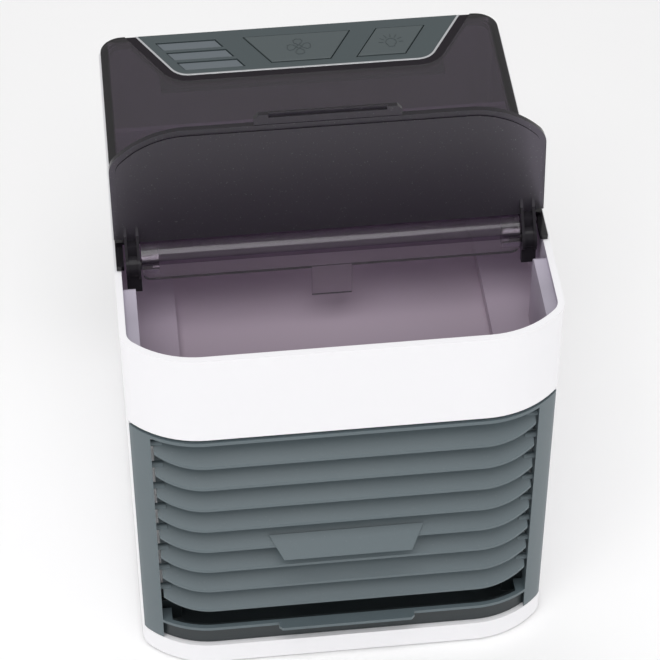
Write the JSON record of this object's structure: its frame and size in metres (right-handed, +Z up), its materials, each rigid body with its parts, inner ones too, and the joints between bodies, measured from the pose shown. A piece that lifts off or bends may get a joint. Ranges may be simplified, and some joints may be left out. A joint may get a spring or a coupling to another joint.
{
  "type": "evaporative air cooler",
  "caption": "Desktop evaporative air cooler with a flip-up tank lid, tilting front louvres, pull-out filter drawer and rear fan.",
  "frame": {"origin": "on the ground under the middle of the casing", "axes": "+Z up, the louvred front faces -Y, +X to the right when seen from the front"},
  "size_m": [0.15, 0.1769, 0.2123],
  "materials": {
    "white_plastic": "satin moulded ABS",
    "grey_plastic": "satin blue-grey moulded ABS",
    "charcoal_plastic": "fine textured charcoal ABS",
    "smoke_plastic": "polished smoke-tinted clear plastic",
    "panel_plastic": "fine matt blue-grey",
    "silver_trim": "bright thin trim line",
    "light_guide": "frosted light guide",
    "rubber": "black moulded rubber",
    "clear_rubber": "milky silicone",
    "steel": "zinc plated",
    "circuit_green": "solder-masked circuit board",
    "switch_black": "moulded switch body",
    "filter_paper": "absorbent paper",
    "filter_plastic": "natural moulded plastic",
    "led_lens": "clear epoxy"
  },
  "bodies": {
    "casing": {"base_plate": "white_plastic", "rubber_feet": "rubber", "case_screws": "steel", "rear_shell": "white_plastic", "rear_grille": "grey_plastic", "water_tank": "white_plastic", "drip_nozzles": "clear_rubber", "deck_cover": "smoke_plastic", "control_panel": "panel_plastic", "panel_trim": "silver_trim", "level_bars": "light_guide", "control_board": "circuit_green", "tact_switches": "switch_black", "fan_shroud": "charcoal_plastic", "fan_motor": "steel", "fan_screws": "steel", "power_board": "circuit_green", "power_socket": "steel", "light_board": "circuit_green", "light_leds": "led_lens"},
    "lid": {"flap_lid": "smoke_plastic"},
    "drawer": {"front_bezel": "grey_plastic", "drawer_tray": "charcoal_plastic", "filter_frame": "filter_plastic", "filter_fins": "filter_paper"},
    "slat_1": {"louvre_slat_1": "grey_plastic"},
    "slat_2": {"louvre_slat_2": "grey_plastic"},
    "slat_3": {"louvre_slat_3": "grey_plastic"},
    "slat_4": {"louvre_slat_4": "grey_plastic"},
    "slat_5": {"louvre_slat_5": "grey_plastic"},
    "slat_6": {"louvre_slat_6": "grey_plastic"},
    "slat_7": {"louvre_slat_7": "grey_plastic"},
    "slat_8": {"louvre_slat_8": "grey_plastic"},
    "link": {"louvre_link": "charcoal_plastic"},
    "impeller": {"fan_impeller": "charcoal_plastic"},
    "fan_key": {"fan_button": "panel_plastic"},
    "light_key": {"light_button": "panel_plastic"}
  },
  "joints": [
    {"name": "lid_hinge", "type": "hinge", "parent": "casing", "child": "lid", "pos_m": [0, -0.0325, 0.158], "axis": [1, 0, 0], "range_deg": [0, 97]},
    {"name": "drawer_slide", "type": "slide", "parent": "casing", "child": "drawer", "axis": [0, -1, 0], "range_m": [0, 0.08]},
    {"name": "slat_5_tilt", "type": "hinge", "parent": "drawer", "child": "slat_5", "pos_m": [0, -0.0757, 0.07013], "axis": [-1, 0, 0], "range_deg": [-6, 58]},
    {"name": "slat_1_tilt", "type": "hinge", "parent": "drawer", "child": "slat_1", "pos_m": [0, -0.0757, 0.11453], "axis": [-1, 0, 0], "range_deg": [-6, 58]},
    {"name": "slat_2_tilt", "type": "hinge", "parent": "drawer", "child": "slat_2", "pos_m": [0, -0.0757, 0.10343], "axis": [-1, 0, 0], "range_deg": [-6, 58]},
    {"name": "slat_3_tilt", "type": "hinge", "parent": "drawer", "child": "slat_3", "pos_m": [0, -0.0757, 0.09233], "axis": [-1, 0, 0], "range_deg": [-6, 58]},
    {"name": "slat_4_tilt", "type": "hinge", "parent": "drawer", "child": "slat_4", "pos_m": [0, -0.0757, 0.08123], "axis": [-1, 0, 0], "range_deg": [-6, 58]},
    {"name": "slat_6_tilt", "type": "hinge", "parent": "drawer", "child": "slat_6", "pos_m": [0, -0.0757, 0.05903], "axis": [-1, 0, 0], "range_deg": [-6, 58]},
    {"name": "slat_7_tilt", "type": "hinge", "parent": "drawer", "child": "slat_7", "pos_m": [0, -0.0757, 0.04793], "axis": [-1, 0, 0], "range_deg": [-6, 58]},
    {"name": "slat_8_tilt", "type": "hinge", "parent": "drawer", "child": "slat_8", "pos_m": [0, -0.0757, 0.03683], "axis": [-1, 0, 0], "range_deg": [-6, 58]},
    {"name": "link_pivot", "type": "hinge", "parent": "slat_5", "child": "link", "pos_m": [0.044, -0.06995, 0.07446], "axis": [-1, 0, 0], "range_deg": [-58, 6]},
    {"name": "fan_spin", "type": "hinge", "parent": "casing", "child": "impeller", "pos_m": [0, 0.0618, 0.0664], "axis": [0, 1, 0], "continuous": true},
    {"name": "fan_press", "type": "slide", "parent": "casing", "child": "fan_key", "axis": [0, 0, -1], "range_m": [0, 0.0008], "stiffness_N_per_m": 800, "springref_m": -0.0008},
    {"name": "light_press", "type": "slide", "parent": "casing", "child": "light_key", "axis": [0, 0, -1], "range_m": [0, 0.0008], "stiffness_N_per_m": 800, "springref_m": -0.0008}
  ],
  "couplings": [
    {"joint": "slat_1_tilt", "follows": "slat_5_tilt", "ratio": 1},
    {"joint": "slat_2_tilt", "follows": "slat_5_tilt", "ratio": 1},
    {"joint": "slat_3_tilt", "follows": "slat_5_tilt", "ratio": 1},
    {"joint": "slat_4_tilt", "follows": "slat_5_tilt", "ratio": 1},
    {"joint": "slat_6_tilt", "follows": "slat_5_tilt", "ratio": 1},
    {"joint": "slat_7_tilt", "follows": "slat_5_tilt", "ratio": 1},
    {"joint": "slat_8_tilt", "follows": "slat_5_tilt", "ratio": 1},
    {"joint": "link_pivot", "follows": "slat_5_tilt", "ratio": -1}
  ]
}
